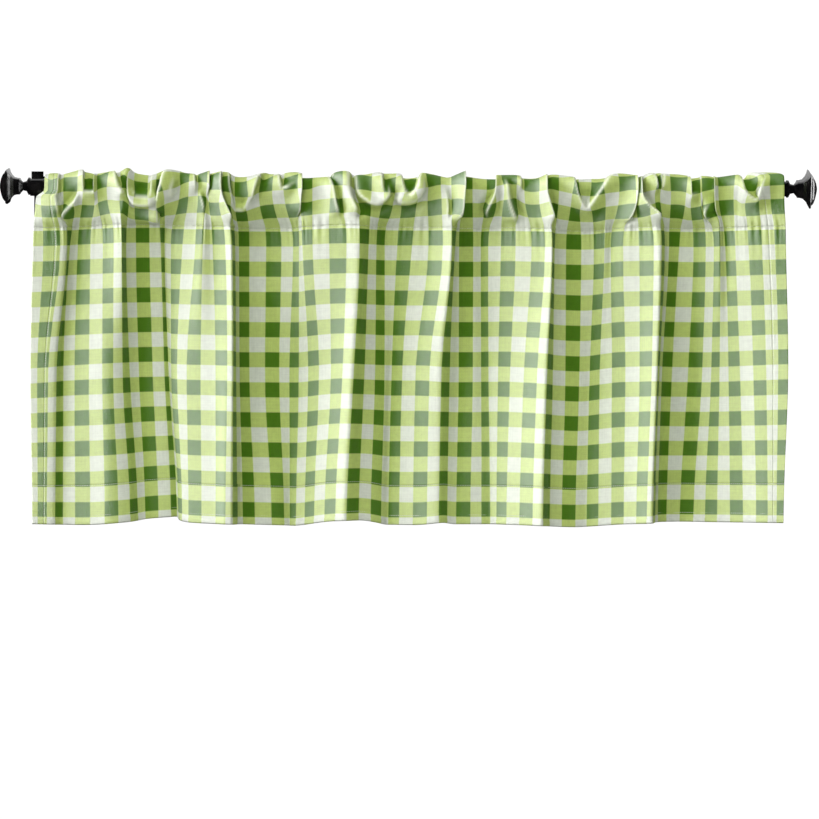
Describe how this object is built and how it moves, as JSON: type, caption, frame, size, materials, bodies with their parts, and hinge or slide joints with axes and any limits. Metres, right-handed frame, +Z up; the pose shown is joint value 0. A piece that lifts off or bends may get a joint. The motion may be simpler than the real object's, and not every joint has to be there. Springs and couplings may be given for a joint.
{
  "type": "rod-pocket window valance on a curtain rod",
  "caption": "Short gathered check valance with a rod pocket, hung on a slim black curtain rod with square stepped finials and wall brackets.",
  "frame": {"origin": "on the wall plane, at the height of the rod's axis, midway between the two brackets", "axes": "+X along the rod to the right as seen from the room, +Y into the wall, +Z up"},
  "size_m": [1.0332, 0.0899, 0.4549],
  "materials": {
    "check_cotton": "woven gingham check in white, light green and green",
    "black_enamel": "gloss black enamel"
  },
  "bodies": {
    "root": {"valance": "check_cotton", "rod": "black_enamel", "finial_left": "black_enamel", "finial_right": "black_enamel", "bracket_left": "black_enamel", "bracket_right": "black_enamel"}
  },
  "joints": []
}
